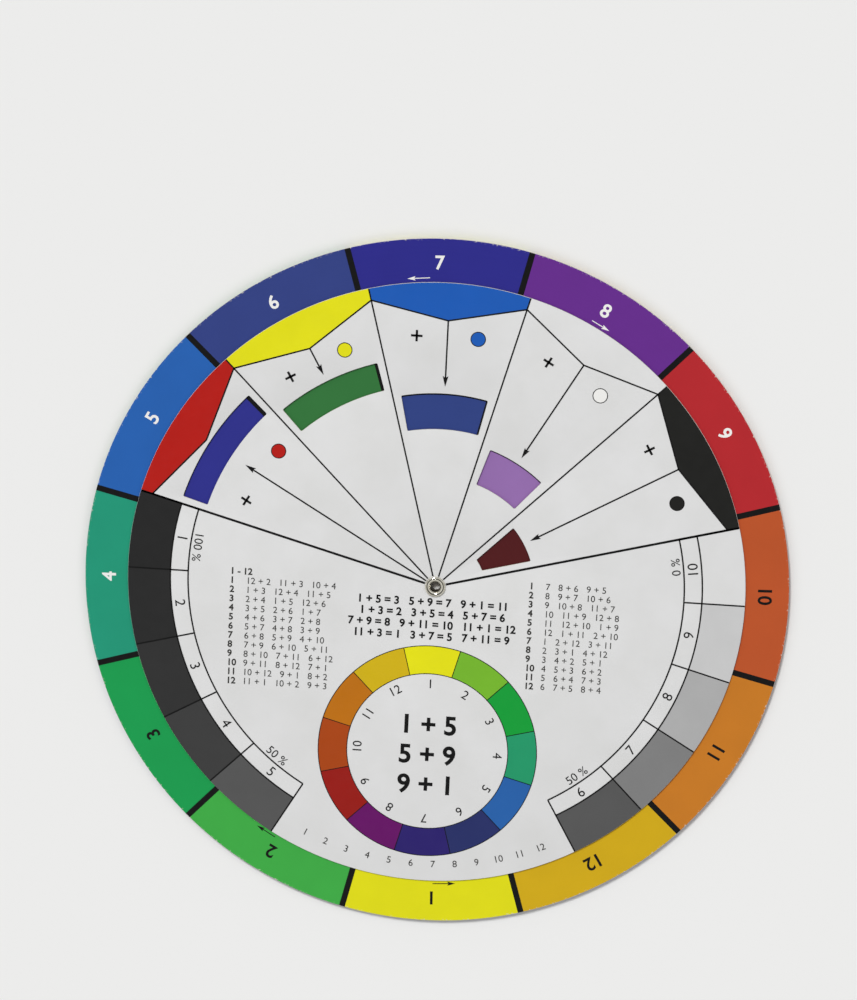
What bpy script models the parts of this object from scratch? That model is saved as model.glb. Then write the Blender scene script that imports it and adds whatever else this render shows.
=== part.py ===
"""A flat colour-mixing wheel of printed card: an outer wheel with a turning dial on each
face, held at the centre by one rolled eyelet. Metres, +Z up, front face up. The origin is on
the eyelet's axis, on the plane that the lowest point stands on."""

import math

import bmesh
import bpy
from mathutils import Vector

MM = 0.001

# Outer wheel and the two dials
WHEEL_DIAMETER = 130.0 * MM
WHEEL_CARD = 0.45 * MM
DIAL_DIAMETER = 114.0 * MM
DIAL_CARD = 0.40 * MM
CARD_GAP = 0.12 * MM
EDGE_ROLL = 0.06 * MM

# Turned positions at rest, about +Z
FRONT_DIAL_TURN = math.radians(-2.0)
BACK_DIAL_TURN = 0.0
HUE_COUNT = 12
WEDGE = 2 * math.pi / HUE_COUNT
KEY_DIRECTION = math.pi / 2

# Windows: the outer and inner edge of each, as shares of the dial's radius
BLACK_WINDOW_SHARES = (0.321, 0.161)
WHITE_WINDOW_SHARES = (0.489, 0.365)
BLUE_WINDOW_SHARES = (0.639, 0.521)
YELLOW_WINDOW_SHARES = (0.758, 0.665)
RED_WINDOW_SHARES = (0.865, 0.781)
TINT_WINDOW_SHARES = (0.865, 0.753)
TONE_WINDOW_SHARES = (0.714, 0.602)
SHADE_WINDOW_SHARES = (0.563, 0.451)
WINDOW_MARGIN = 1.25 * MM
WINDOW_CORNER = 0.25 * MM

# Eyelet
EYELET_BORE = 1.8 * MM
EYELET_WALL = 0.20 * MM
FLANGE_DIAMETER = 3.8 * MM
FLANGE_HEIGHT = 0.45 * MM
CLINCH_DIAMETER = 4.0 * MM
CLINCH_HEIGHT = 0.40 * MM
EYELET_CLEARANCE = 0.08 * MM
SEAT_CLEARANCE = 0.10 * MM

# How finely round forms are stepped, how far cutters run past what they cut, and how near
# two points count as one
RIM_STEPS = 144
HOLE_STEPS = 40
ROLL_STEPS = 7
EDGE_STEPS = 1
CORNER_STEPS = 2
CUT_OVERRUN = 1.0 * MM
POINT_MATCH = 0.01 * MM
SMOOTH_ANGLE = math.radians(35.0)

# Heights in the stack, from the clinched end upwards
BACK_DIAL_Z = CLINCH_HEIGHT + SEAT_CLEARANCE
WHEEL_Z = BACK_DIAL_Z + DIAL_CARD + CARD_GAP
FRONT_DIAL_Z = WHEEL_Z + WHEEL_CARD + CARD_GAP
FLANGE_Z = FRONT_DIAL_Z + DIAL_CARD + SEAT_CLEARANCE
DIAL_RADIUS = DIAL_DIAMETER / 2
HOLE_RADIUS = EYELET_BORE / 2 + EYELET_WALL + EYELET_CLEARANCE


def clear_scene():
    for obj in list(bpy.data.objects):
        bpy.data.objects.remove(obj, do_unlink=True)


def material(name, colour, roughness, metallic=0.0):
    made = bpy.data.materials.new(name)
    made.use_nodes = True
    shader = made.node_tree.nodes["Principled BSDF"]
    shader.inputs["Base Color"].default_value = (*colour, 1.0)
    shader.inputs["Roughness"].default_value = roughness
    shader.inputs["Metallic"].default_value = metallic
    return made


def add_object(name, bm, finish=None):
    bmesh.ops.recalc_face_normals(bm, faces=bm.faces[:])
    mesh = bpy.data.meshes.new(name)
    bm.to_mesh(mesh)
    bm.free()
    mesh.shade_smooth()
    mesh.set_sharp_from_angle(angle=SMOOTH_ANGLE)
    if finish:
        mesh.materials.append(finish)
    obj = bpy.data.objects.new(name, mesh)
    bpy.context.scene.collection.objects.link(obj)
    return obj


def polar(radius, angle):
    return Vector((radius * math.cos(angle), radius * math.sin(angle), 0))


def stepped_arc(radius, start, end):
    """Points on an arc about the origin, stepped no coarser than the card's rim."""
    steps = max(1, round(abs(end - start) * RIM_STEPS / (2 * math.pi)))
    return [polar(radius, start + (end - start) * i / steps) for i in range(steps + 1)]


def raise_faces(bm, height):
    """Extrudes flat faces upwards into a solid plate."""
    grown = bmesh.ops.extrude_face_region(bm, geom=bm.faces[:])
    top = [part for part in grown["geom"] if isinstance(part, bmesh.types.BMVert)]
    bmesh.ops.translate(bm, verts=top, vec=(0, 0, height))


def card_blank(diameter, thickness):
    """A die-cut disc whose edges roll over slightly, as cut card does."""
    bm = bmesh.new()
    bmesh.ops.create_circle(bm, cap_ends=True, segments=RIM_STEPS, radius=diameter / 2)
    raise_faces(bm, thickness)
    rim = [edge for edge in bm.edges if edge.verts[0].co.z == edge.verts[1].co.z]
    bmesh.ops.bevel(
        bm, geom=rim, offset=EDGE_ROLL, segments=EDGE_STEPS, profile=0.5, affect="EDGES", material=-1
    )
    return bm


def add_window(bm, direction, edge_shares, tapered=False):
    """Adds the cutter of one arched window. Its inner corners stand off the lines of its wedge
    by the margin. A tapered one keeps that margin up to its outer corners, so its sides run
    beside the lines, and the others have radial sides."""
    outer, inner = (DIAL_RADIUS * share for share in edge_shares)
    inner_half = WEDGE / 2 - math.asin(WINDOW_MARGIN / inner)
    outer_half = WEDGE / 2 - math.asin(WINDOW_MARGIN / outer) if tapered else inner_half
    far = stepped_arc(outer, direction - outer_half, direction + outer_half)
    near = stepped_arc(inner, direction + inner_half, direction - inner_half)
    window = bmesh.new()
    window.faces.new([window.verts.new(point) for point in far + near])
    raise_faces(window, DIAL_CARD + 2 * CUT_OVERRUN)
    bmesh.ops.translate(window, verts=window.verts[:], vec=(0, 0, -CUT_OVERRUN))
    ends = (far[0], far[-1], near[0], near[-1])
    corners = [edge for edge in window.edges if stands_on(edge, ends)]
    bmesh.ops.bevel(
        window,
        geom=corners,
        offset=WINDOW_CORNER,
        segments=CORNER_STEPS,
        profile=0.5,
        affect="EDGES",
        material=-1,
    )
    join(bm, window)


def stands_on(edge, points):
    """True for an upright edge over one of these points."""
    low, high = (vert.co for vert in edge.verts)
    if low.xy != high.xy:
        return False
    return any((low.xy - point.xy).length < POINT_MATCH for point in points)


def join(bm, other):
    """Moves one shape's geometry into another."""
    carrier = bpy.data.meshes.new("carrier")
    other.to_mesh(carrier)
    other.free()
    bm.from_mesh(carrier)
    bpy.data.meshes.remove(carrier)


def add_hole(bm, thickness):
    """Adds the cutter of the eyelet's hole."""
    hole = bmesh.new()
    bmesh.ops.create_circle(hole, cap_ends=True, segments=HOLE_STEPS, radius=HOLE_RADIUS)
    raise_faces(hole, thickness + 2 * CUT_OVERRUN)
    bmesh.ops.translate(hole, verts=hole.verts[:], vec=(0, 0, -CUT_OVERRUN))
    join(bm, hole)


def punch(card, cutters):
    """Cuts the card with its own punch, which is kept as a hidden guide under it."""
    tool = add_object(card.name + "_punch", cutters)
    tool.parent = card
    tool.hide_render = True
    tool.display_type = "WIRE"
    cut = card.modifiers.new("punched", "BOOLEAN")
    cut.operation = "DIFFERENCE"
    cut.solver = "EXACT"
    cut.object = tool


def make_base_disc(finish):
    disc = add_object("base_disc", card_blank(WHEEL_DIAMETER, WHEEL_CARD), finish)
    disc.location.z = WHEEL_Z
    cutters = bmesh.new()
    add_hole(cutters, WHEEL_CARD)
    punch(disc, cutters)


def make_front_dial(finish):
    """The dial that mixes: each of five wedges has a window one step nearer the centre."""
    dial = add_object("front_dial", card_blank(DIAL_DIAMETER, DIAL_CARD), finish)
    dial.location.z = FRONT_DIAL_Z
    dial.rotation_euler.z = FRONT_DIAL_TURN
    cutters = bmesh.new()
    add_hole(cutters, DIAL_CARD)
    add_window(cutters, WEDGE, BLACK_WINDOW_SHARES, tapered=True)
    outward = (WHITE_WINDOW_SHARES, BLUE_WINDOW_SHARES, YELLOW_WINDOW_SHARES, RED_WINDOW_SHARES)
    for place, edge_shares in enumerate(outward, start=2):
        add_window(cutters, place * WEDGE, edge_shares)
    punch(dial, cutters)


def make_back_dial(finish):
    """The dial on the back: three windows in one wedge show a hue's tint, tone and shade."""
    dial = add_object("back_dial", card_blank(DIAL_DIAMETER, DIAL_CARD), finish)
    dial.location.z = BACK_DIAL_Z
    dial.rotation_euler.z = BACK_DIAL_TURN
    cutters = bmesh.new()
    add_hole(cutters, DIAL_CARD)
    for edge_shares in (TINT_WINDOW_SHARES, TONE_WINDOW_SHARES, SHADE_WINDOW_SHARES):
        add_window(cutters, KEY_DIRECTION, edge_shares)
    punch(dial, cutters)


def rolled_end(mouth_z, diameter, height, towards):
    """One end's centreline and its normals, from the barrel outwards: half an ellipse that
    rises from the barrel and comes back to the card. towards is +1 for up and -1 for down."""
    barrel = EYELET_BORE / 2 + EYELET_WALL / 2
    reach = (diameter / 2 - EYELET_WALL / 2 - barrel) / 2
    rise = height - EYELET_WALL / 2
    rows = []
    for i in range(ROLL_STEPS + 1):
        angle = math.pi * (1 - i / ROLL_STEPS)
        point = Vector((barrel + reach + reach * math.cos(angle), 0, rise * math.sin(angle)))
        normal = Vector((rise * math.cos(angle), 0, reach * math.sin(angle))).normalized()
        point.z = mouth_z + towards * point.z
        normal.z = towards * normal.z
        rows.append((point, normal))
    return rows


def make_eyelet(finish):
    """A tubular eyelet, turned from its section: a barrel whose front end is rolled to a
    flange and whose back end is clinched outwards onto the back dial."""
    clinch = rolled_end(CLINCH_HEIGHT, CLINCH_DIAMETER, CLINCH_HEIGHT, -1)
    flange = rolled_end(FLANGE_Z, FLANGE_DIAMETER, FLANGE_HEIGHT, 1)
    line = clinch[::-1] + flange
    half = EYELET_WALL / 2
    skin = [point + half * normal for point, normal in line]
    back = [point - half * normal for point, normal in line]
    bm = bmesh.new()
    section = [bm.verts.new(point) for point in skin + back[::-1]]
    rim = [bm.edges.new(pair) for pair in zip(section, section[1:] + section[:1])]
    bmesh.ops.spin(
        bm,
        geom=section + rim,
        cent=(0, 0, 0),
        axis=(0, 0, 1),
        angle=2 * math.pi,
        steps=HOLE_STEPS,
        use_merge=True,
    )
    add_object("eyelet", bm, finish)


def main():
    clear_scene()
    make_base_disc(material("wheel_card", (0.84, 0.84, 0.83), 0.35))
    make_front_dial(material("front_dial_card", (0.86, 0.86, 0.85), 0.35))
    make_back_dial(material("back_dial_card", (0.86, 0.86, 0.85), 0.35))
    make_eyelet(material("nickel_plate", (0.66, 0.64, 0.60), 0.28, 1.0))


main()
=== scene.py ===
import math

import bmesh
import bpy
from mathutils import Matrix, Vector


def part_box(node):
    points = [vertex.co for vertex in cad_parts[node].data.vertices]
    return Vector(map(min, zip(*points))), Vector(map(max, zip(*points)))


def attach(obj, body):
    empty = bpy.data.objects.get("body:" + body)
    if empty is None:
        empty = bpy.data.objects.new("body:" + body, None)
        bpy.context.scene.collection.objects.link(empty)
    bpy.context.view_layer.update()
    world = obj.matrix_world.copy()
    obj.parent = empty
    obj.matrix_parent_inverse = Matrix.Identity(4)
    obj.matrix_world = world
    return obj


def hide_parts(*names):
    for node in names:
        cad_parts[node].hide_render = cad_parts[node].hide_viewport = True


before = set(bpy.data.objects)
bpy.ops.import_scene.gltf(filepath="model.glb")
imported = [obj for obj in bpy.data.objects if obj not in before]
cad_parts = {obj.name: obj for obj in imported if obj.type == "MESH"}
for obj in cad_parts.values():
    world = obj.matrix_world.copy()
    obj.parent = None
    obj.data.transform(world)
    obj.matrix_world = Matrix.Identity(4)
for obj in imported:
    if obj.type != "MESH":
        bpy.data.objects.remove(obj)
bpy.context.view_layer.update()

# The outer wheel. It is a disc of card, coated white on both faces and cut out with a steel
# rule, so its edges are rolled over a little and show the raw core. The eyelet goes through it.
MM = 0.001
wheel_low, wheel_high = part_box("base_disc")
WHEEL_RADIUS = wheel_high.x
HOLE_RADIUS = 1.18 * MM
EDGE_ROLL = 0.06 * MM
RIM_STEPS = 360
HOLE_STEPS = 96
ROLL_STEPS = 3
ROUND_PROFILE = 0.5
SMOOTH_ANGLE = math.radians(35.0)
FLAT_SHARE = 0.5
CARD_WHITE = "#DFDFDF"
CARD_SHADOW = "#D9D9D8"
CORE_PALE = "#D9D4C8"
CORE_DARK = "#B9B2A2"
COATING_GRAIN = 1.4 * MM
COATING_CLOUD = 9.0 * MM
COATING_ROUGHNESS = (0.36, 0.48)
FIBRE_SIZE = 0.12 * MM
FIBRE_STRETCH = (1, 0.5, 1)
TOOTH_DEPTH = 0.004 * MM
CORE_STRETCH = (0.4, 0.4, 3)
CORE_DETAIL = 5.0
CORE_ROUGHNESS = (0.95, 0.8)
CORE_DEPTH = 0.02 * MM
GRAIN_DETAIL = 3.0
GRAIN_LOW = 0.3
GRAIN_HIGH = 0.7

# The sRGB curve: the end and the slope of its straight foot, and the offset and power above it
SRGB_FOOT = 0.04
SRGB_SLOPE = 12.92
SRGB_OFFSET = 0.055
SRGB_POWER = 2.4

# A mix node's colour sockets by number, because its other sockets have the same names
MIX_FIRST = 6
MIX_SECOND = 7
MIX_RESULT = 2


def from_hex(code):
    """Red, green and blue of a printed colour, as shares of full."""
    return Vector([int(code[at:at + 2], 16) / 255 for at in (1, 3, 5)])


def as_light(colour):
    """A printed colour as the light it sends back, by the sRGB curve, with full opacity."""
    light = []
    for share in colour:
        above_foot = ((share + SRGB_OFFSET) / (1 + SRGB_OFFSET)) ** SRGB_POWER
        light.append(share / SRGB_SLOPE if share < SRGB_FOOT else above_foot)
    return (*light, 1.0)


def new_finish(name):
    finish = bpy.data.materials.new(name)
    finish.use_nodes = True
    return finish, finish.node_tree, finish.node_tree.nodes["Principled BSDF"]


def grain(tree, size, detail=GRAIN_DETAIL, stretch=(1, 1, 1)):
    """An uneven pattern fixed to the piece, whose patches are about this size."""
    place = tree.nodes.new("ShaderNodeTexCoord")
    scaled = tree.nodes.new("ShaderNodeMapping")
    scaled.inputs["Scale"].default_value = stretch
    noise = tree.nodes.new("ShaderNodeTexNoise")
    noise.inputs["Scale"].default_value = 1 / size
    noise.inputs["Detail"].default_value = detail
    tree.links.new(place.outputs["Object"], scaled.inputs["Vector"])
    tree.links.new(scaled.outputs["Vector"], noise.inputs["Vector"])
    return noise.outputs["Fac"]


def spread(tree, value, low, high, start=GRAIN_LOW, end=GRAIN_HIGH):
    """Spreads a value's range from start to end, by default a grain's usual one, over low to
    high."""
    ranged = tree.nodes.new("ShaderNodeMapRange")
    limits = {"From Min": start, "From Max": end, "To Min": low, "To Max": high}
    for socket, limit in limits.items():
        ranged.inputs[socket].default_value = limit
    tree.links.new(value, ranged.inputs["Value"])
    return ranged.outputs["Result"]


def mix_colours(tree, share, first, second, how="MIX"):
    """Mixes two colours, each a hex code or a node's output, by the share of the second."""
    mix = tree.nodes.new("ShaderNodeMix")
    mix.data_type = "RGBA"
    mix.blend_type = how
    tree.links.new(share, mix.inputs["Factor"])
    for number, colour in ((MIX_FIRST, first), (MIX_SECOND, second)):
        socket = mix.inputs[number]
        if isinstance(colour, str):
            socket.default_value = as_light(from_hex(colour))
        else:
            tree.links.new(colour, socket)
    return mix.outputs[MIX_RESULT]


def roughen(tree, shader, height, depth):
    """Gives a surface the relief of a grain."""
    bump = tree.nodes.new("ShaderNodeBump")
    bump.inputs["Distance"].default_value = depth
    tree.links.new(height, bump.inputs["Height"])
    tree.links.new(bump.outputs["Normal"], shader.inputs["Normal"])


def coated_card():
    """White clay coating, calendered smooth: faint clouds, and the tooth of the fibres below."""
    finish, tree, shader = new_finish("coated_card")
    cloud = grain(tree, COATING_CLOUD)
    colour = mix_colours(tree, spread(tree, cloud, 0.0, 1.0), CARD_WHITE, CARD_SHADOW)
    tree.links.new(colour, shader.inputs["Base Color"])
    gloss = spread(tree, grain(tree, COATING_GRAIN), *COATING_ROUGHNESS)
    tree.links.new(gloss, shader.inputs["Roughness"])
    roughen(tree, shader, grain(tree, FIBRE_SIZE, stretch=FIBRE_STRETCH), TOOTH_DEPTH)
    return finish


def raw_core():
    """The cut edge: layered, fibrous board without any coating."""
    finish, tree, shader = new_finish("raw_core")
    fibres = grain(tree, FIBRE_SIZE, CORE_DETAIL, CORE_STRETCH)
    colour = mix_colours(tree, spread(tree, fibres, 0.0, 1.0), CORE_PALE, CORE_DARK)
    tree.links.new(colour, shader.inputs["Base Color"])
    tree.links.new(spread(tree, fibres, *CORE_ROUGHNESS), shader.inputs["Roughness"])
    roughen(tree, shader, fibres, CORE_DEPTH)
    return finish


def round_outline(radius):
    """The cut lines of a round card: its rim and the eyelet's hole."""
    outline = bmesh.new()
    bmesh.ops.create_circle(outline, segments=RIM_STEPS, radius=radius)
    bmesh.ops.create_circle(outline, segments=HOLE_STEPS, radius=HOLE_RADIUS)
    return outline


def raise_flat(shape, height):
    """Raises a flat shape to a closed plate."""
    grown = bmesh.ops.extrude_face_region(shape, geom=shape.faces[:])
    top = [part for part in grown["geom"] if isinstance(part, bmesh.types.BMVert)]
    bmesh.ops.translate(shape, verts=top, vec=(0, 0, height))
    bmesh.ops.recalc_face_normals(shape, faces=shape.faces[:])


def is_corner(edge):
    """True for an edge between a face of the card and its cut side."""
    upright = [abs(face.normal.z) < FLAT_SHARE for face in edge.link_faces]
    return upright.count(True) == 1


def cut_card(outline, thickness):
    """Fills cut lines to a card, and rolls its edges over as the cutting rule does."""
    bmesh.ops.triangle_fill(outline, use_beauty=True, edges=outline.edges[:])
    raise_flat(outline, thickness)
    bmesh.ops.bevel(
        outline,
        geom=[edge for edge in outline.edges if is_corner(edge)],
        offset=EDGE_ROLL,
        segments=ROLL_STEPS,
        profile=ROUND_PROFILE,
        affect="EDGES",
        material=-1,
    )
    outline.normal_update()
    for face in outline.faces:
        face.material_index = 0 if abs(face.normal.z) > FLAT_SHARE else 1


def set_piece(name, shape, finishes, body, z=0.0, turn=0.0, face_down=False):
    """Sets a finished shape at its height and turn, face up or face down, to ride on its body."""
    if face_down:
        bmesh.ops.rotate(shape, verts=shape.verts[:], matrix=Matrix.Rotation(math.pi, 3, "Y"))
    bmesh.ops.rotate(shape, verts=shape.verts[:], matrix=Matrix.Rotation(turn, 3, "Z"))
    bmesh.ops.translate(shape, verts=shape.verts[:], vec=(0, 0, z))
    mesh = bpy.data.meshes.new(name)
    shape.to_mesh(mesh)
    shape.free()
    for finish in finishes:
        mesh.materials.append(finish)
    mesh.shade_smooth()
    mesh.set_sharp_from_angle(angle=SMOOTH_ANGLE)
    piece = bpy.data.objects.new(name, mesh)
    bpy.context.scene.collection.objects.link(piece)
    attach(piece, body)
    return piece


coated = coated_card()
core = raw_core()
card = round_outline(WHEEL_RADIUS)
cut_card(card, wheel_high.z - wheel_low.z)
wheel_card = set_piece("wheel_card", card, (coated, core), "wheel", z=wheel_low.z)
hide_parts("base_disc")

# The hues on the front of the outer wheel. They are printed and varnished: twelve at the rim, and
# under the dial five rings of what each hue gives with red, yellow, blue, white and black.
HUE_COUNT = 12
WEDGE = 2 * math.pi / HUE_COUNT
FIRST_HUE_DIRECTION = 1.5 * math.pi
DIAL_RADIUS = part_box("front_dial")[1].y
ARC_STEP = math.radians(1.0)
AREA_FILM = 0.02 * MM
LINE_FILM = 0.035 * MM
WINDOW_MARGIN = 1.25 * MM
PAPER_WHITE = "#F2F1EE"
INK_BLACK = "#0A0A0A"
TINT_SHARE = 0.34
SHADE_SHARE = 0.59
DULL_SHARE = 0.18
INK_CLOUD = 6.0 * MM
INK_FAINTEST = "#F9F9F9"
INK_ROUGHNESS = (0.32, 0.37)
INK_SPECULAR = 0.35
NICK_SIZE = 0.35 * MM
NICK_DETAIL = 4.0
NICK_RANGE = (0.60, 0.66)
WORN_EDGE = 0.35 * MM
SCUFF_PITCH = 0.35 * MM

# Clockwise from the foot of the wheel
HUES = (
    ("yellow", "#E2DE10"),
    ("yellow-green", "#3EAB45"),
    ("green", "#149C4E"),
    ("blue-green", "#1F9777"),
    ("blue", "#2461B1"),
    ("blue-violet", "#324184"),
    ("violet", "#2B298A"),
    ("red-violet", "#662B8D"),
    ("red", "#B6262C"),
    ("red-orange", "#BC5428"),
    ("orange", "#C87A22"),
    ("yellow-orange", "#D1AA12"),
)

# What full amounts of red, yellow and blue paint give together
MIXED_PAINTS = {
    (0, 0, 0): "#F2F1EE",
    (1, 0, 0): "#BC242A",
    (0, 1, 0): "#DEDA14",
    (0, 0, 1): "#305A8C",
    (1, 1, 0): "#D08226",
    (0, 1, 1): "#28C44A",
    (1, 0, 1): "#2A2CA0",
    (1, 1, 1): "#3A3E30",
}

# The outer and inner edge of each window of the front dial, as shares of the dial's radius
WINDOW_SHARES = {
    "red": (0.865, 0.781),
    "yellow": (0.758, 0.665),
    "blue": (0.639, 0.521),
    "white": (0.489, 0.365),
    "black": (0.321, 0.161),
}
PRIMARY_PLACES = {"yellow": 0, "blue": 4, "red": 8}
FULL_PAINT_STEPS = 2
NO_PAINT_STEPS = 4


def polar(radius, angle):
    return Vector((radius * math.cos(angle), radius * math.sin(angle), 0))


def paint_amounts(place):
    """Red, yellow and blue paint in the hue at this place: full in the hues up to two steps from
    that paint's own, and none from four steps away."""
    amounts = []
    for primary in ("red", "yellow", "blue"):
        steps = abs(place - PRIMARY_PLACES[primary])
        steps = min(steps, HUE_COUNT - steps)
        amount = (NO_PAINT_STEPS - steps) / (NO_PAINT_STEPS - FULL_PAINT_STEPS)
        amounts.append(min(1.0, max(0.0, amount)))
    return Vector(amounts)


def from_paints(amounts):
    """The colour that these amounts of red, yellow and blue paint give."""
    colour = Vector((0, 0, 0))
    for corner, code in MIXED_PAINTS.items():
        share = math.prod(amount if full else 1 - amount for amount, full in zip(amounts, corner))
        colour += share * from_hex(code)
    return colour


def mixture(place, added):
    """The colour of the hue at this place with one more paint added."""
    hue = from_hex(HUES[place][1])
    if added == "white":
        return hue.lerp(from_hex(PAPER_WHITE), TINT_SHARE)
    if added == "black":
        return hue.lerp(from_hex(INK_BLACK), SHADE_SHARE)
    both = paint_amounts(place) + paint_amounts(PRIMARY_PLACES[added])
    return from_paints(both / max(both)).lerp(from_hex(MIXED_PAINTS[1, 1, 1]), DULL_SHARE)


def axis_distance(tree):
    """How far a point of the piece is from the eyelet's axis."""
    place = tree.nodes.new("ShaderNodeTexCoord")
    flat = tree.nodes.new("ShaderNodeVectorMath")
    flat.operation = "MULTIPLY"
    flat.inputs[1].default_value = (1, 1, 0)
    radius = tree.nodes.new("ShaderNodeVectorMath")
    radius.operation = "LENGTH"
    tree.links.new(place.outputs["Object"], flat.inputs[0])
    tree.links.new(flat.outputs["Vector"], radius.inputs[0])
    return radius.outputs["Value"]


def printed_ink(name, worn_radius=None):
    """Varnished ink in the colour it was printed in, with faint clouds. Up to a worn rim, it has
    fine rings of scuffs from the turning dials, and at the rim nicks that show the card."""
    finish, tree, shader = new_finish(name)
    ink = tree.nodes.new("ShaderNodeVertexColor")
    ink.layer_name = "ink"
    cloud = spread(tree, grain(tree, INK_CLOUD), 0.0, 1.0)
    colour = mix_colours(tree, cloud, ink.outputs["Color"], INK_FAINTEST, "MULTIPLY")
    gloss = grain(tree, COATING_GRAIN)
    if worn_radius:
        radius = axis_distance(tree)
        rings = tree.nodes.new("ShaderNodeTexNoise")
        rings.noise_dimensions = "1D"
        rings.inputs["Scale"].default_value = 1 / SCUFF_PITCH
        tree.links.new(radius, rings.inputs["W"])
        gloss = rings.outputs["Fac"]
        nicks = tree.nodes.new("ShaderNodeMath")
        nicks.operation = "MULTIPLY"
        rim = spread(tree, radius, 0.0, 1.0, worn_radius - WORN_EDGE, worn_radius)
        torn = spread(tree, grain(tree, NICK_SIZE, NICK_DETAIL), 0.0, 1.0, *NICK_RANGE)
        tree.links.new(rim, nicks.inputs[0])
        tree.links.new(torn, nicks.inputs[1])
        colour = mix_colours(tree, nicks.outputs["Value"], colour, CORE_PALE)
    tree.links.new(colour, shader.inputs["Base Color"])
    tree.links.new(spread(tree, gloss, *INK_ROUGHNESS), shader.inputs["Roughness"])
    shader.inputs["Specular IOR Level"].default_value = INK_SPECULAR
    roughen(tree, shader, grain(tree, FIBRE_SIZE, stretch=FIBRE_STRETCH), TOOTH_DEPTH)
    return finish


def arc_steps(angle):
    """How many straight pieces an arc of this angle is drawn in."""
    return max(2, round(abs(angle) / ARC_STEP))


def arched_cell(inner, outer, start, end):
    """A flat cell between two radii: a radial line spun from its start to its end."""
    cell = bmesh.new()
    line = [cell.verts.new(polar(radius, start)) for radius in (inner, outer)]
    bmesh.ops.spin(
        cell,
        geom=line + [cell.edges.new(line)],
        cent=(0, 0, 0),
        axis=(0, 0, 1),
        angle=end - start,
        steps=arc_steps(end - start),
    )
    return cell


def join(sheet, shape):
    """Moves a shape into a sheet."""
    carrier = bpy.data.meshes.new("carrier")
    shape.to_mesh(carrier)
    shape.free()
    sheet.from_mesh(carrier)
    bpy.data.meshes.remove(carrier)


def lay_ink(sheet, shape, colour, film=AREA_FILM):
    """Prints a flat shape on a sheet, as a film of ink."""
    raise_flat(shape, film)
    layer = shape.loops.layers.float_color.new("ink")
    for face in shape.faces:
        for loop in face.loops:
            loop[layer] = as_light(colour)
    join(sheet, shape)


def hue_direction(place):
    return FIRST_HUE_DIRECTION - place * WEDGE


def window_radii(window_shares):
    """Each window's name with its outer and inner radius."""
    return [
        (name, DIAL_RADIUS * outer, DIAL_RADIUS * inner)
        for name, (outer, inner) in window_shares.items()
    ]


def edges_of_rings(openings):
    """The radii at which the rings of mixtures meet, halfway between one window and the next.
    The first and last lie a margin outside the windows."""
    edges = [openings[0][1] + WINDOW_MARGIN]
    edges += [(above[2] + below[1]) / 2 for above, below in zip(openings, openings[1:])]
    return [*edges, openings[-1][2] - WINDOW_MARGIN]


windows = window_radii(WINDOW_SHARES)
ring_edges = edges_of_rings(windows)
PRINT_RADIUS = WHEEL_RADIUS - EDGE_ROLL / 2
worn_ink = printed_ink("rim_ink", worn_radius=PRINT_RADIUS)
sheet = bmesh.new()
for place, (_, code) in enumerate(HUES):
    start, end = hue_direction(place) - WEDGE / 2, hue_direction(place) + WEDGE / 2
    lay_ink(sheet, arched_cell(ring_edges[0], PRINT_RADIUS, start, end), from_hex(code))
    for (added, _, _), outer, inner in zip(windows, ring_edges, ring_edges[1:]):
        lay_ink(sheet, arched_cell(inner, outer, start, end), mixture(place, added))
set_piece("wheel_front_hues", sheet, (worn_ink,), "wheel", z=wheel_high.z)

# The black borders on the front of the outer wheel. A bar stands between each two hues, from the
# rim inwards, and each ring of mixtures ends in a circle that can just be seen in two windows, the
# blue and the white. In the other windows it shows as a thin line at the outer edge, widened in
# the red and yellow windows as painted shade along that edge.
BAR_WIDTH = 1.1 * MM

# How far each circle shows inside the outer edge of its window; in the red and yellow windows part
# of it is painted shade along that edge
BORDER_AND_SHADE_PEEKS = {
    "red": 0.13 * MM,
    "yellow": 0.11 * MM,
    "blue": 0.36 * MM,
    "white": 0.28 * MM,
    "black": 0.12 * MM,
}


def bar(start, end, width):
    """A straight stroke of ink from one point to another."""
    side = (end - start).normalized().cross(Vector((0, 0, 1))) * width / 2
    stroke = bmesh.new()
    corners = (start + side, end + side, end - side, start - side)
    stroke.faces.new([stroke.verts.new(corner) for corner in corners])
    return stroke


def draw_rule(sheet, start, end, width):
    """Prints a straight black line from one point to another."""
    lay_ink(sheet, bar(start, end, width), black, LINE_FILM)


def draw_ray(sheet, inner, outer, direction, width):
    """Prints a straight black line outwards from one radius to another."""
    draw_rule(sheet, polar(inner, direction), polar(outer, direction), width)


ink = printed_ink("line_ink")
black = from_hex(INK_BLACK)
sheet = bmesh.new()
for place in range(HUE_COUNT):
    draw_ray(sheet, ring_edges[-1], PRINT_RADIUS, hue_direction(place) + WEDGE / 2, BAR_WIDTH)
# Painted shade in part: in the red and yellow windows the black band at the outer edge is wider
# than the printed border, for the shade along that edge
for added, outer, _ in windows:
    inside = outer - BORDER_AND_SHADE_PEEKS[added]
    lay_ink(sheet, arched_cell(inside, inside + BAR_WIDTH, 0, 2 * math.pi), black, LINE_FILM)
set_piece("wheel_front_borders", sheet, (ink,), "wheel", z=wheel_high.z)

# The numbers of the hues, printed on the front of the outer wheel with their feet towards the
# eyelet: white on the six darker hues and black on the others.
HUE_NUMBER_RADIUS = 60.6 * MM
HUE_NUMBER_HEIGHT = 2.5 * MM
HUE_NUMBER_WEIGHT = 0.07 * MM
FIGURE_HEIGHT_SHARE = 0.7
FIGURE_MERGE_SHARE = 0.05
FIGURE_CURVE_STEPS = 4
DARK_HUES = ("blue-green", "blue", "blue-violet", "violet", "red-violet", "red")


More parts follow.
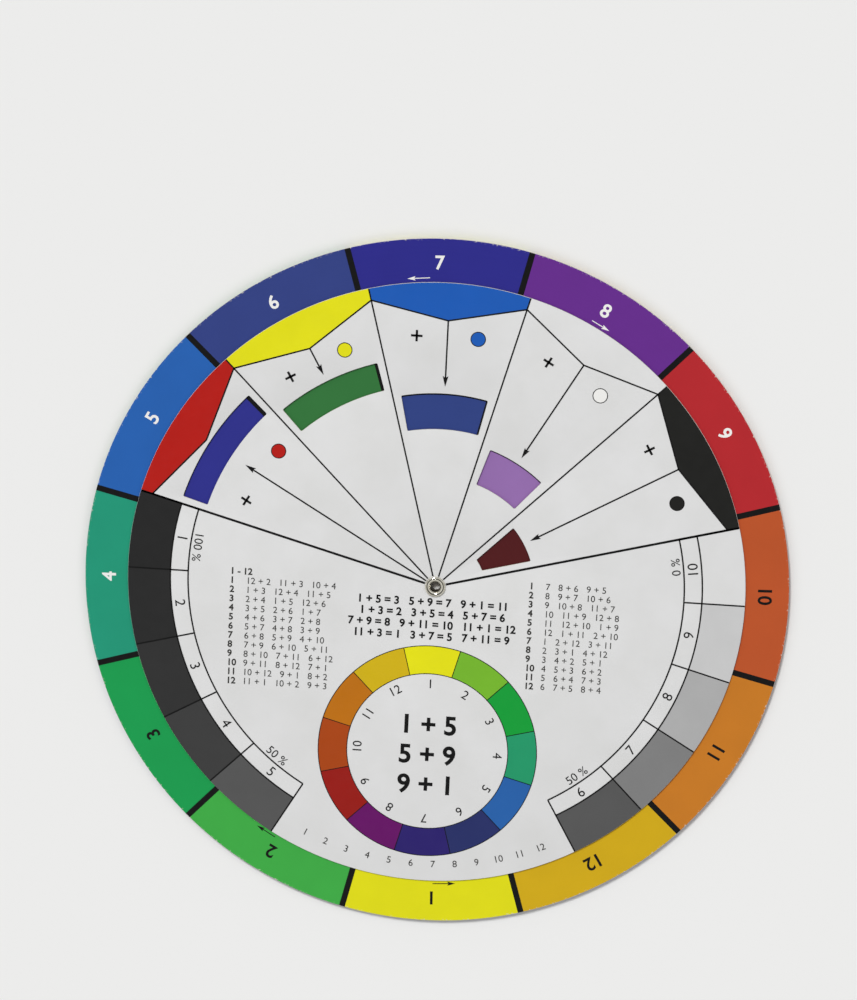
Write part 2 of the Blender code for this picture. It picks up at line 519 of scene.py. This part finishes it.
def figures(text, height, weight=0.0, align="CENTER"):
    """Numbers and signs as a flat shape, centred on the origin or set to its right. Their
    outlines are filled anew, and a weight moves them outwards to make the strokes heavier."""
    curve = bpy.data.curves.new("figures", "FONT")
    curve.body = text
    curve.size = height / FIGURE_HEIGHT_SHARE
    curve.align_x = align
    curve.resolution_u = FIGURE_CURVE_STEPS
    holder = bpy.data.objects.new("figures", curve)
    mesh = bpy.data.meshes.new_from_object(holder)
    shape = bmesh.new()
    shape.from_mesh(mesh)
    bpy.data.objects.remove(holder)
    bpy.data.curves.remove(curve)
    bpy.data.meshes.remove(mesh)
    bmesh.ops.remove_doubles(shape, verts=shape.verts[:], dist=FIGURE_MERGE_SHARE * height)
    within = [edge for edge in shape.edges if not edge.is_boundary]
    bmesh.ops.delete(shape, geom=within, context="EDGES_FACES")
    bmesh.ops.delete(shape, geom=shape.faces[:], context="FACES_ONLY")
    bmesh.ops.triangle_fill(shape, use_beauty=True, edges=shape.edges[:])
    if weight:
        grown = bmesh.ops.inset_region(
            shape, faces=shape.faces[:], use_boundary=True, use_even_offset=True, thickness=-weight
        )
        bmesh.ops.delete(shape, geom=grown["faces"], context="FACES")
    bmesh.ops.translate(shape, verts=shape.verts[:], vec=(0, -height / 2, 0))
    return shape


def set_out(shape, radius, direction, feet_in=True):
    """Moves a shape out to a radius and turns its feet towards the eyelet, or away from it."""
    turn = direction - math.pi / 2 if feet_in else direction + math.pi / 2
    bmesh.ops.rotate(shape, verts=shape.verts[:], matrix=Matrix.Rotation(turn, 3, "Z"))
    bmesh.ops.translate(shape, verts=shape.verts[:], vec=polar(radius, direction))
    return shape


def number_hue(sheet, place, direction):
    """Prints the number of the hue at this place, white on a dark hue."""
    number = figures(str(place + 1), HUE_NUMBER_HEIGHT, HUE_NUMBER_WEIGHT)
    set_out(number, HUE_NUMBER_RADIUS, direction)
    lay_ink(sheet, number, white if HUES[place][0] in DARK_HUES else black, LINE_FILM)


white = from_hex(PAPER_WHITE)
sheet = bmesh.new()
for place in range(HUE_COUNT):
    number_hue(sheet, place, hue_direction(place))
set_piece("wheel_front_numbers", sheet, (ink,), "wheel", z=wheel_high.z)

# Four small arrows on the front of the outer wheel, close to the dial. They point from yellow
# and from violet to the warm hues on one side and to the cool hues on the other.
SMALL_ARROW_RADIUS = 57.75 * MM
SMALL_ARROW_WIDTH = 0.16 * MM
SMALL_HEAD_LENGTH = 1.5 * MM
SMALL_HEAD_WIDTH = 0.8 * MM
HEAD_NOTCH_SHARE = 0.82

# The direction of each tail and head in degrees, and the ink
SMALL_ARROWS = (
    (91.7, 95.8, white),
    (61.2, 57.6, white),
    (239.3, 235.3, black),
    (270.2, 274.4, black),
)


def arrow(tail, tip, width, head_length, head_width):
    """A thin shaft with a notched head."""
    ahead = (tip - tail).normalized()
    side = ahead.cross(Vector((0, 0, 1))) * head_width / 2
    base = tip - ahead * head_length
    notch = tip - ahead * head_length * HEAD_NOTCH_SHARE
    shape = bar(tail, notch, width)
    shape.faces.new([shape.verts.new(point) for point in (tip, base - side, notch, base + side)])
    return shape


sheet = bmesh.new()
for tail, head, colour in SMALL_ARROWS:
    start, end = (polar(SMALL_ARROW_RADIUS, math.radians(angle)) for angle in (tail, head))
    shape = arrow(start, end, SMALL_ARROW_WIDTH, SMALL_HEAD_LENGTH, SMALL_HEAD_WIDTH)
    lay_ink(sheet, shape, colour, LINE_FILM)
set_piece("wheel_front_arrows", sheet, (ink,), "wheel", z=wheel_high.z)

# The printing on the back of the outer wheel: the twelve hues at the rim and, under the back dial,
# rings of their tints, tones and shades, with the same bars and numbers as on the front.
TOP_DIRECTION = math.pi / 2
BACK_WINDOW_SHARES = {"tint": (0.865, 0.753), "tone": (0.714, 0.602), "shade": (0.563, 0.451)}
BACK_PARTNERS = {"tint": PAPER_WHITE, "tone": "#8A8A88", "shade": INK_BLACK}
BACK_PARTNER_SHARE = 0.5
back_windows = window_radii(BACK_WINDOW_SHARES)
back_edges = edges_of_rings(back_windows)
areas, lines, numbers = bmesh.new(), bmesh.new(), bmesh.new()
for place, (_, code) in enumerate(HUES):
    direction = TOP_DIRECTION - place * WEDGE
    start, end = direction - WEDGE / 2, direction + WEDGE / 2
    lay_ink(areas, arched_cell(back_edges[0], PRINT_RADIUS, start, end), from_hex(code))
    for (kind, _, _), outer, inner in zip(back_windows, back_edges, back_edges[1:]):
        mixed = from_hex(code).lerp(from_hex(BACK_PARTNERS[kind]), BACK_PARTNER_SHARE)
        lay_ink(areas, arched_cell(inner, outer, start, end), mixed)
    draw_ray(lines, back_edges[-1], PRINT_RADIUS, end, BAR_WIDTH)
    number_hue(numbers, place, direction)
for name, sheet, finish in (
    ("wheel_back_hues", areas, worn_ink),
    ("wheel_back_borders", lines, ink),
    ("wheel_back_numbers", numbers, ink),
):
    set_piece(name, sheet, (finish,), "wheel", z=wheel_low.z, face_down=True)

# The front dial. It is a smaller disc of the same coated card that turns on the eyelet, with five
# arched windows, each one wedge on and one step nearer the centre, punched in the same stroke.
DIAL_TURN = math.radians(-2.0)
WINDOW_CORNER = 0.25 * MM
WINDOW_CORNER_STEPS = 4
WINDOW_WEDGES = {"red": 5, "yellow": 4, "blue": 3, "white": 2, "black": 1}
dial_low, dial_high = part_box("front_dial")


def spun_arc(shape, radius, start, end):
    """Draws an arc about the eyelet by spinning a point. Returns its first and last point."""
    first = shape.verts.new(polar(radius, start))
    spun = bmesh.ops.spin(
        shape,
        geom=[first],
        cent=(0, 0, 0),
        axis=(0, 0, 1),
        angle=end - start,
        steps=arc_steps(end - start),
    )
    return first, next(part for part in spun["geom_last"] if isinstance(part, bmesh.types.BMVert))


def add_window(outline, direction, outer, inner, tapered=False):
    """Adds the cut line of a window. Its inner corners stand off the lines of its wedge by the
    margin, and the outer corners of a tapered one do too."""
    inner_half = WEDGE / 2 - math.asin(WINDOW_MARGIN / inner)
    outer_half = WEDGE / 2 - math.asin(WINDOW_MARGIN / outer) if tapered else inner_half
    window = bmesh.new()
    far = spun_arc(window, outer, direction - outer_half, direction + outer_half)
    near = spun_arc(window, inner, direction - inner_half, direction + inner_half)
    for ends in zip(far, near):
        window.edges.new(ends)
    bmesh.ops.contextual_create(window, geom=window.edges[:])
    bmesh.ops.bevel(
        window,
        geom=[*far, *near],
        offset=WINDOW_CORNER,
        segments=WINDOW_CORNER_STEPS,
        profile=ROUND_PROFILE,
        affect="VERTICES",
        material=-1,
    )
    bmesh.ops.delete(window, geom=window.faces[:], context="FACES_ONLY")
    join(outline, window)


card = round_outline(DIAL_RADIUS)
for added, outer, inner in windows:
    add_window(card, WINDOW_WEDGES[added] * WEDGE, outer, inner, tapered=added == "black")
cut_card(card, dial_high.z - dial_low.z)
front_card = set_piece(
    "front_dial_card",
    card,
    (coated, core),
    "front_dial",
    z=dial_low.z,
    turn=DIAL_TURN,
)
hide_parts("front_dial")

# The five panels at the rim of the front dial, each in the paint that its wedge adds. A panel
# runs from the rim to a shallow point on the middle of its wedge.
PANEL_CORNER_RADIUS = 54.8 * MM
PANEL_POINT_RADIUS = 50.0 * MM
PANEL_COLOURS = {"red": "#B61810", "yellow": "#E6E214", "blue": "#1A5BB6", "black": "#1C1C1A"}
DIAL_PRINT_RADIUS = DIAL_RADIUS - EDGE_ROLL / 2


def print_on_dial(name, sheet):
    set_piece(name, sheet, (ink,), "front_dial", z=dial_high.z, turn=DIAL_TURN)


def panel_shape(direction):
    """A filled panel: an arc at the rim, two corners on the wedge's lines, and a point."""
    shape = bmesh.new()
    right, left = spun_arc(shape, DIAL_PRINT_RADIUS, direction - WEDGE / 2, direction + WEDGE / 2)
    corners = (
        shape.verts.new(polar(PANEL_CORNER_RADIUS, direction + WEDGE / 2)),
        shape.verts.new(polar(PANEL_POINT_RADIUS, direction)),
        shape.verts.new(polar(PANEL_CORNER_RADIUS, direction - WEDGE / 2)),
    )
    path = (left, *corners, right)
    for ends in zip(path, path[1:]):
        shape.edges.new(ends)
    bmesh.ops.contextual_create(shape, geom=shape.edges[:])
    return shape


sheet = bmesh.new()
for added, code in PANEL_COLOURS.items():
    lay_ink(sheet, panel_shape(WINDOW_WEDGES[added] * WEDGE), from_hex(code))
print_on_dial("front_dial_panels", sheet)

# The rules of the front dial: two heavy ones that part the mixing half from the grey scale, thin
# ones between the wedges, and the outlines of the panels.
HEAVY_RULE = 0.42 * MM
THIN_RULE = 0.28 * MM
RULE_START_RADIUS = 2.0 * MM
sheet = bmesh.new()
for border in range(len(WINDOW_WEDGES) + 1):
    width = HEAVY_RULE if border in (0, len(WINDOW_WEDGES)) else THIN_RULE
    draw_ray(sheet, RULE_START_RADIUS, DIAL_PRINT_RADIUS, (border + 0.5) * WEDGE, width)
for wedge in WINDOW_WEDGES.values():
    point = polar(PANEL_POINT_RADIUS, wedge * WEDGE)
    for side in (-0.5, 0.5):
        draw_rule(sheet, polar(PANEL_CORNER_RADIUS, (wedge + side) * WEDGE), point, THIN_RULE)
print_on_dial("front_dial_rules", sheet)

# The arrows of the five wedges. Each runs down the middle of its wedge from the panel to just
# short of the window, and the outermost window's runs out from the eyelet.
POINTER_HEAD_LENGTH = 2.0 * MM
POINTER_HEAD_WIDTH = 1.05 * MM
POINTER_GAP = 1.3 * MM
RED_POINTER_GAP = 3.0 * MM


def draw_pointer(sheet, tail, tip, width):
    """Prints a long black arrow."""
    shape = arrow(tail, tip, width, POINTER_HEAD_LENGTH, POINTER_HEAD_WIDTH)
    lay_ink(sheet, shape, black, LINE_FILM)


sheet = bmesh.new()
for added, outer, inner in windows:
    direction = WINDOW_WEDGES[added] * WEDGE
    tail, tip = polar(PANEL_POINT_RADIUS, direction), polar(outer + POINTER_GAP, direction)
    if added == "red":
        tail, tip = polar(RULE_START_RADIUS, direction), polar(inner - RED_POINTER_GAP, direction)
    draw_pointer(sheet, tail, tip, THIN_RULE)
print_on_dial("front_dial_pointers", sheet)

# A plus sign and a dot of the added paint stand on either side of each arrow, in place of words.
# The dots have a thin dark outline.
SIGN_RADIUS = 46.9 * MM
RED_SIGN_RADIUS = 37.8 * MM
SIGN_OFFSET = 5.6 * MM
PLUS_SIZE = 2.1 * MM
PLUS_WIDTH = 0.42 * MM
DOT_RADIUS = 1.25 * MM
DOT_OUTLINE = 0.16 * MM
DOT_STEPS = 40


def disc(radius, centre, steps=DOT_STEPS):
    """A flat round spot."""
    shape = bmesh.new()
    bmesh.ops.create_circle(shape, cap_ends=True, segments=steps, radius=radius)
    bmesh.ops.translate(shape, verts=shape.verts[:], vec=centre)
    return shape


def draw_dot(sheet, radius, centre, colour):
    """Prints a dot on a slightly larger black one, which stays in sight as its outline."""
    lay_ink(sheet, disc(radius + DOT_OUTLINE, centre), black)
    lay_ink(sheet, disc(radius, centre), colour, LINE_FILM)


sheet = bmesh.new()
for added, wedge in WINDOW_WEDGES.items():
    ahead = polar(1, wedge * WEDGE)
    aside = polar(1, (wedge + HUE_COUNT / 4) * WEDGE)
    middle = ahead * (RED_SIGN_RADIUS if added == "red" else SIGN_RADIUS)
    plus, dot = middle + aside * SIGN_OFFSET, middle - aside * SIGN_OFFSET
    for arm in (ahead, aside):
        draw_rule(sheet, plus - arm * PLUS_SIZE / 2, plus + arm * PLUS_SIZE / 2, PLUS_WIDTH)
    draw_dot(sheet, DOT_RADIUS, dot, from_hex(PANEL_COLOURS.get(added, PAPER_WHITE)))
print_on_dial("front_dial_signs", sheet)

# The grey scale round the lower rim of the front dial: ten steps from black to white in two runs
# of five, the last step bare card, and inside them narrow cells with the numbers of the steps.
GREY_INNER_RADIUS = 49.1 * MM
LABEL_INNER_RADIUS = 45.8 * MM
GREY_STEP = math.radians(15.0)
GREY_NUMBER_HEIGHT = 1.9 * MM
GREY_NUMBER_RADIUS = (GREY_INNER_RADIUS + LABEL_INNER_RADIUS) / 2
CAPTION_RADIUS = 44.4 * MM
CAPTION_HEIGHT = 1.6 * MM
LEFT_START = math.radians(165.0)
RIGHT_START = math.radians(-60.0)
RUN_STEPS = 5

# How light each printed step is
GREY_SHARES = (0.14, 0.155, 0.185, 0.235, 0.335, 0.34, 0.50, 0.685, 0.795)

# Each caption and its direction in degrees
CAPTIONS = (("100 %", 174.0), ("50 %", 231.0), ("50 %", -51.0), ("0 %", 8.5))
areas, lines, numbers = bmesh.new(), bmesh.new(), bmesh.new()
for step in range(2 * RUN_STEPS):
    start = (LEFT_START if step < RUN_STEPS else RIGHT_START) + step % RUN_STEPS * GREY_STEP
    if step < len(GREY_SHARES):
        cell = arched_cell(GREY_INNER_RADIUS, DIAL_PRINT_RADIUS, start, start + GREY_STEP)
        lay_ink(areas, cell, Vector([GREY_SHARES[step]] * 3))
    number = figures(str(step + 1), GREY_NUMBER_HEIGHT)
    set_out(number, GREY_NUMBER_RADIUS, start + GREY_STEP / 2, feet_in=False)
    lay_ink(numbers, number, black, LINE_FILM)
for start in (LEFT_START, RIGHT_START):
    for radius in (GREY_INNER_RADIUS, LABEL_INNER_RADIUS):
        end = start + RUN_STEPS * GREY_STEP
        arc = arched_cell(radius - THIN_RULE / 2, radius + THIN_RULE / 2, start, end)
        lay_ink(lines, arc, black, LINE_FILM)
    for step in range(RUN_STEPS + 1):
        direction = start + step * GREY_STEP
        draw_ray(lines, LABEL_INNER_RADIUS, DIAL_PRINT_RADIUS, direction, THIN_RULE)
for text, angle in CAPTIONS:
    caption = figures(text, CAPTION_HEIGHT)
    set_out(caption, CAPTION_RADIUS, math.radians(angle), feet_in=False)
    lay_ink(numbers, caption, black, LINE_FILM)
print_on_dial("grey_scale_steps", areas)
print_on_dial("grey_scale_rules", lines)
print_on_dial("grey_scale_numbers", numbers)

# The small ring of twelve hues below the eyelet, the key to the numbers: yellow is at the top as
# number 1, the others follow clockwise, and inside it stand the sums of the three primaries.
KEY_RING_DROP = 31.75 * MM
KEY_RING_OUTER = 20.35 * MM
KEY_RING_INNER = 15.0 * MM
KEY_RULE = 0.15 * MM
KEY_NUMBER_RADIUS = 13.1 * MM
KEY_NUMBER_HEIGHT = 1.7 * MM
SUM_HEIGHT = 3.5 * MM
SUM_WEIGHT = 0.12 * MM
SUM_PITCH = 5.8 * MM
SUM_RISE = -0.6 * MM
KEY_SUMS = ("1 + 5", "5 + 9", "9 + 1")

# The inks of the small ring, in the order of the wheel's hues
KEY_HUES = (
    "#E7E310",
    "#77B82D",
    "#0F9E38",
    "#229969",
    "#2661A9",
    "#262F66",
    "#2A1E6C",
    "#650A64",
    "#98170F",
    "#AA450E",
    "#BE700C",
    "#D2B312",
)
ring_centre = Vector((0, -KEY_RING_DROP, 0))


def drop(shape):
    """Moves a shape from the eyelet down to the middle of the small ring."""
    bmesh.ops.translate(shape, verts=shape.verts[:], vec=ring_centre)
    return shape


areas, lines, numbers = bmesh.new(), bmesh.new(), bmesh.new()
for place, code in enumerate(KEY_HUES):
    direction = TOP_DIRECTION - place * WEDGE
    start, end = direction - WEDGE / 2, direction + WEDGE / 2
    lay_ink(areas, drop(arched_cell(KEY_RING_INNER, KEY_RING_OUTER, start, end)), from_hex(code))
    rule = bar(polar(KEY_RING_INNER, end), polar(KEY_RING_OUTER, end), KEY_RULE)
    lay_ink(lines, drop(rule), black, LINE_FILM)
    number = set_out(figures(str(place + 1), KEY_NUMBER_HEIGHT), KEY_NUMBER_RADIUS, direction)
    lay_ink(numbers, drop(number), black, LINE_FILM)
for radius in (KEY_RING_INNER, KEY_RING_OUTER):
    circle = arched_cell(radius - KEY_RULE / 2, radius + KEY_RULE / 2, 0, 2 * math.pi)
    lay_ink(lines, drop(circle), black, LINE_FILM)
for row, text in enumerate(KEY_SUMS):
    sum_row = drop(figures(text, SUM_HEIGHT, SUM_WEIGHT))
    rise = SUM_RISE + (len(KEY_SUMS) // 2 - row) * SUM_PITCH
    bmesh.ops.translate(sum_row, verts=sum_row.verts[:], vec=(0, rise, 0))
    lay_ink(numbers, sum_row, black, LINE_FILM)
print_on_dial("key_ring_hues", areas)
print_on_dial("key_ring_rules", lines)
print_on_dial("key_ring_numbers", numbers)

# The tables of numbers beside the small ring. On the left each hue has the pairs that balance
# about it, and on the right what stands opposite it. The sums of neighbours are in the middle,
# and the twelve numbers stand in a row at the foot.
NOTE_HEIGHT = 1.22 * MM
NOTE_WEIGHT = 0.045 * MM
NOTE_HEAD_WIDTH = 3.0 * MM
NOTE_COLOUR = "#33322F"
NOTE_SPACE = "   "
LEFT_NOTES = Vector((-38.0 * MM, 0.6 * MM, 0))
LEFT_PITCH = 1.755 * MM
RIGHT_NOTES = Vector((17.3 * MM, 1.3 * MM, 0))
RIGHT_PITCH = 1.74 * MM
MIDDLE_NOTES = Vector((-0.3 * MM, -3.0 * MM, 0))
MIDDLE_PITCH = 2.15 * MM
MIDDLE_HEIGHT = 1.45 * MM
MIDDLE_WEIGHT = 0.06 * MM
ARC_NOTE_RADIUS = 53.7 * MM
ARC_NOTE_HEIGHT = 1.3 * MM
ARC_NOTE_STEP = math.radians(4.4)
BALANCED_STEPS = (1, 2, 3)
OPPOSITE_STEPS = 6
NEARLY_OPPOSITE_STEPS = (5, 4)

# Each sum as the hue that it gives, and how many steps to either side its two hues stand
SUM_ROWS = (
    ((3, 2), (7, 2), (11, 2)),
    ((2, 1), (4, 1), (6, 1)),
    ((8, 1), (10, 1), (12, 1)),
    ((1, 2), (5, 2), (9, 2)),
)


def hue_number(number):
    """Counts on round the wheel, so that 0 is 12 and 13 is 1."""
    return str((number - 1) % HUE_COUNT + 1)


def pair(number, steps):
    """The sum of the two hues that stand this many steps to either side of a hue."""
    return hue_number(number - steps) + " + " + hue_number(number + steps)


def set_row(sheet, corner, head, rest):
    """Prints one row of a table, its first number heavier than the rest."""
    for text, weight, shift in ((head, NOTE_WEIGHT, 0.0), (rest, 0.0, NOTE_HEAD_WIDTH)):
        row = figures(text, NOTE_HEIGHT, weight, align="LEFT")
        bmesh.ops.translate(row, verts=row.verts[:], vec=corner + Vector((shift, 0, 0)))
        lay_ink(sheet, row, from_hex(NOTE_COLOUR), LINE_FILM)


sheet = bmesh.new()
for row in range(HUE_COUNT):
    number = row + 1
    balanced = [pair(number, steps) for steps in BALANCED_STEPS]
    corner = LEFT_NOTES - Vector((0, (row + 1) * LEFT_PITCH, 0))
    set_row(sheet, corner, str(number), NOTE_SPACE.join(balanced))
    opposite = [hue_number(number + OPPOSITE_STEPS)]
    opposite += [pair(number, steps) for steps in NEARLY_OPPOSITE_STEPS]
    corner = RIGHT_NOTES - Vector((0, row * RIGHT_PITCH, 0))
    set_row(sheet, corner, str(number), NOTE_SPACE.join(opposite))
set_row(sheet, LEFT_NOTES, "1 - 12", "")
print_on_dial("number_tables", sheet)

sheet = bmesh.new()
for row, places in enumerate(SUM_ROWS):
    sums = [pair(number, steps) + " = " + str(number) for number, steps in places]
    shape = figures(NOTE_SPACE.join(sums), MIDDLE_HEIGHT, MIDDLE_WEIGHT)
    middle = MIDDLE_NOTES - Vector((0, row * MIDDLE_PITCH, 0))
    bmesh.ops.translate(shape, verts=shape.verts[:], vec=middle)
    lay_ink(sheet, shape, black, LINE_FILM)
for place in range(HUE_COUNT):
    direction = FIRST_HUE_DIRECTION + (place - (HUE_COUNT - 1) / 2) * ARC_NOTE_STEP
    number = figures(str(place + 1), ARC_NOTE_HEIGHT)
    set_out(number, ARC_NOTE_RADIUS, direction, feet_in=False)
    lay_ink(sheet, number, from_hex(NOTE_COLOUR), LINE_FILM)
print_on_dial("number_sums", sheet)

# The back dial. It is a disc like the front one that turns on the back, with three windows in one
# wedge. Its printing is plain figures: dots for white, grey and black, a triangle and a square.
back_low, back_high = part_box("back_dial")
KEY_WEDGE = 3
FIGURE_RADIUS = 19.0 * MM
MARK_RADIUS = 53.0 * MM
MARK_SIZE = 1.5 * MM
MARK_GAP = 3.0 * MM
BACK_DOT_RADIUS = 0.75 * MM
BACK_FIGURES = ((3, HEAVY_RULE), (4, THIN_RULE))
card = round_outline(DIAL_RADIUS)
for _, outer, inner in back_windows:
    add_window(card, KEY_WEDGE * WEDGE, outer, inner)
cut_card(card, back_high.z - back_low.z)
back_card = set_piece(
    "back_dial_card",
    card,
    (coated, core),
    "back_dial",
    z=back_high.z,
    face_down=True,
)
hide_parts("back_dial")
lines, marks = bmesh.new(), bmesh.new()
for side in (-0.5, 0.5):
    draw_ray(lines, RULE_START_RADIUS, DIAL_PRINT_RADIUS, (KEY_WEDGE + side) * WEDGE, HEAVY_RULE)
for corner_count, width in BACK_FIGURES:
    apart = 2 * math.pi / corner_count
    turns = [KEY_WEDGE * WEDGE + corner * apart for corner in range(corner_count + 1)]
    for first, second in zip(turns, turns[1:]):
        draw_rule(lines, polar(FIGURE_RADIUS, first), polar(FIGURE_RADIUS, second), width)
    for turn in turns[1:-1]:
        draw_pointer(lines, polar(FIGURE_RADIUS, turn), polar(MARK_RADIUS - MARK_GAP, turn), width)
        lay_ink(marks, disc(MARK_SIZE, polar(MARK_RADIUS, turn), corner_count), black, LINE_FILM)
for kind, _, inner in back_windows:
    dot = polar(inner - WINDOW_MARGIN, KEY_WEDGE * WEDGE)
    draw_dot(marks, BACK_DOT_RADIUS, dot, from_hex(BACK_PARTNERS[kind]))
for name, sheet in (("back_dial_rules", lines), ("back_dial_marks", marks)):
    set_piece(name, sheet, (ink,), "back_dial", z=back_low.z, face_down=True)

# The eyelet. It is a short tube of nickelled brass, drawn with a rolled flange that bears on the
# front dial, and clinched outwards behind the back dial. It is the axle of both dials.
EYELET_BORE = 1.8 * MM
EYELET_WALL = 0.20 * MM
FLANGE_DIAMETER = 3.8 * MM
FLANGE_HEIGHT = 0.45 * MM
FLANGE_Z = 2.09 * MM
FLANGE_LEAN = 0.14 * MM
CLINCH_DIAMETER = 4.0 * MM
CLINCH_HEIGHT = 0.40 * MM
EYELET_STEPS = 96
EYELET_ROLL_STEPS = 18
NICKEL = "#F2EFE2"
NICKEL_DULL = "#D8D2BF"
# Painted shade: the grey-brown that the bore's wall is darkened to, for the shade in the hole
BORE_PAINTED_SHADE = "#7F786E"
BORE_SHADE_EDGE = 0.12 * MM
TARNISH_SIZE = 0.7 * MM
NICKEL_ROUGHNESS = (0.08, 0.20)
TURNING_MARK = 0.03 * MM
TURNING_STRETCH = (0.3, 0.3, 1)
MARK_DEPTH = 0.002 * MM


def nickel_plate():
    """Bright nickel with a warm cast, fine marks round its roll and a little tarnish. Its colour
    is darkened in the bore as painted shade for the dark hole."""
    finish, tree, shader = new_finish("nickel_plate")
    shader.inputs["Metallic"].default_value = 1.0
    tarnish = grain(tree, TARNISH_SIZE)
    colour = mix_colours(tree, spread(tree, tarnish, 0.0, 1.0), NICKEL, NICKEL_DULL)
    # Painted shade: the colour darkens to a grey-brown inside the bore, for the shade in the hole
    bore = EYELET_BORE / 2
    bore_shade = spread(tree, axis_distance(tree), 1.0, 0.0, bore, bore + BORE_SHADE_EDGE)
    tree.links.new(mix_colours(tree, bore_shade, colour, BORE_PAINTED_SHADE), shader.inputs["Base Color"])
    tree.links.new(spread(tree, tarnish, *NICKEL_ROUGHNESS), shader.inputs["Roughness"])
    roughen(tree, shader, grain(tree, TURNING_MARK, stretch=TURNING_STRETCH), MARK_DEPTH)
    return finish


def rolled_end(mouth_z, diameter, height, towards, lean=0.0):
    """One end's centreline and its normals, from the barrel outwards: half an ellipse that
    rises from the barrel and comes back to the card. towards is +1 for up and -1 for down, and
    a lean moves the crest outwards within the same diameter."""
    barrel = EYELET_BORE / 2 + EYELET_WALL / 2
    width = diameter / 2 - EYELET_WALL / 2 - barrel

    # A leaning end would stand out past the diameter, so its reach is cut by as much
    reach = (width - lean ** 2 / width) / 2
    rise = height - EYELET_WALL / 2
    rows = []
    for step in range(EYELET_ROLL_STEPS + 1):
        angle = math.pi * (1 - step / EYELET_ROLL_STEPS)
        across, up = math.cos(angle), math.sin(angle)
        radius = barrel + reach + reach * across + lean * up
        point = Vector((radius, 0, mouth_z + towards * rise * up))
        normal = Vector((rise * across, 0, towards * (reach * up - lean * across)))
        rows.append((point, normal.normalized()))
    return rows


line = rolled_end(CLINCH_HEIGHT, CLINCH_DIAMETER, CLINCH_HEIGHT, -1)[::-1]
line += rolled_end(FLANGE_Z, FLANGE_DIAMETER, FLANGE_HEIGHT, 1, FLANGE_LEAN)
half = EYELET_WALL / 2
skin = [point + half * normal for point, normal in line]
inside = [point - half * normal for point, normal in line]
shell = bmesh.new()
section = [shell.verts.new(point) for point in skin + inside[::-1]]
rim = [shell.edges.new(two) for two in zip(section, section[1:] + section[:1])]
bmesh.ops.spin(
    shell,
    geom=section + rim,
    cent=(0, 0, 0),
    axis=(0, 0, 1),
    angle=2 * math.pi,
    steps=EYELET_STEPS,
    use_merge=True,
)
bmesh.ops.recalc_face_normals(shell, faces=shell.faces[:])
eyelet_shell = set_piece("eyelet_shell", shell, (nickel_plate(),), "wheel")
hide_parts("eyelet")

# The table under the wheel, the light and the camera. The light is one distant soft lamp high
# behind the wheel, and a surround that is pale at the horizon and in a band above it, as screens
# stand round a small object, and dim overhead.
FLOOR_SIZE = 3.0
FLOOR_COLOUR = "#EDEDEC"
FLOOR_ROUGHNESS = 0.9
LAMP_DIRECTION = Vector((-0.40, 1.30, 1.90))
LAMP_WIDTH = math.radians(12.0)
LAMP_STRENGTH = 1.85
CAMERA_PLACE = Vector((0.0534, 0.2140, 0.7993))
CAMERA_TURN = (math.radians(-13.84), math.radians(4.11), math.radians(0.71))
CAMERA_LENS = 161.7

# The height above the horizon, 1 being straight overhead, and how bright the surround is there
SURROUND = (
    (0.0, 0.84),
    (0.08, 0.84),
    (0.25, 0.30),
    (0.45, 0.30),
    (0.6, 0.85),
    (0.8, 0.85),
    (0.9, 0.12),
    (1.0, 0.12),
)

table = bmesh.new()
bmesh.ops.create_grid(table, x_segments=1, y_segments=1, size=FLOOR_SIZE / 2)
mesh = bpy.data.meshes.new("floor")
table.to_mesh(mesh)
table.free()
finish, tree, shader = new_finish("floor")
shader.inputs["Base Color"].default_value = as_light(from_hex(FLOOR_COLOUR))
shader.inputs["Roughness"].default_value = FLOOR_ROUGHNESS
shader.inputs["Specular IOR Level"].default_value = 0.0
mesh.materials.append(finish)
floor = bpy.data.objects.new("floor", mesh)
bpy.context.scene.collection.objects.link(floor)

lamp_data = bpy.data.lights.new("lamp", "SUN")
lamp_data.angle = LAMP_WIDTH
lamp_data.energy = LAMP_STRENGTH
lamp = bpy.data.objects.new("lamp", lamp_data)
lamp.location = LAMP_DIRECTION
lamp.rotation_euler = LAMP_DIRECTION.to_track_quat("Z", "Y").to_euler()
bpy.context.scene.collection.objects.link(lamp)

world = bpy.data.worlds.new("surround")
world.use_nodes = True
surround = world.node_tree.nodes["Background"]
towards = world.node_tree.nodes.new("ShaderNodeTexCoord")
parts = world.node_tree.nodes.new("ShaderNodeSeparateXYZ")
world.node_tree.links.new(towards.outputs["Generated"], parts.inputs["Vector"])
ramp = world.node_tree.nodes.new("ShaderNodeValToRGB")
while len(ramp.color_ramp.elements) < len(SURROUND):
    ramp.color_ramp.elements.new(1.0)
for stop, (height, strength) in zip(ramp.color_ramp.elements, SURROUND):
    stop.position = height
    stop.color = (strength, strength, strength, 1)
world.node_tree.links.new(parts.outputs["Z"], ramp.inputs["Fac"])
world.node_tree.links.new(ramp.outputs["Color"], surround.inputs["Color"])
bpy.context.scene.world = world

camera_data = bpy.data.cameras.new("camera")
camera_data.lens = CAMERA_LENS
camera = bpy.data.objects.new("camera", camera_data)
camera.location = CAMERA_PLACE
camera.rotation_euler = CAMERA_TURN
bpy.context.scene.collection.objects.link(camera)
bpy.context.scene.camera = camera
bpy.context.scene.view_settings.view_transform = "Standard"
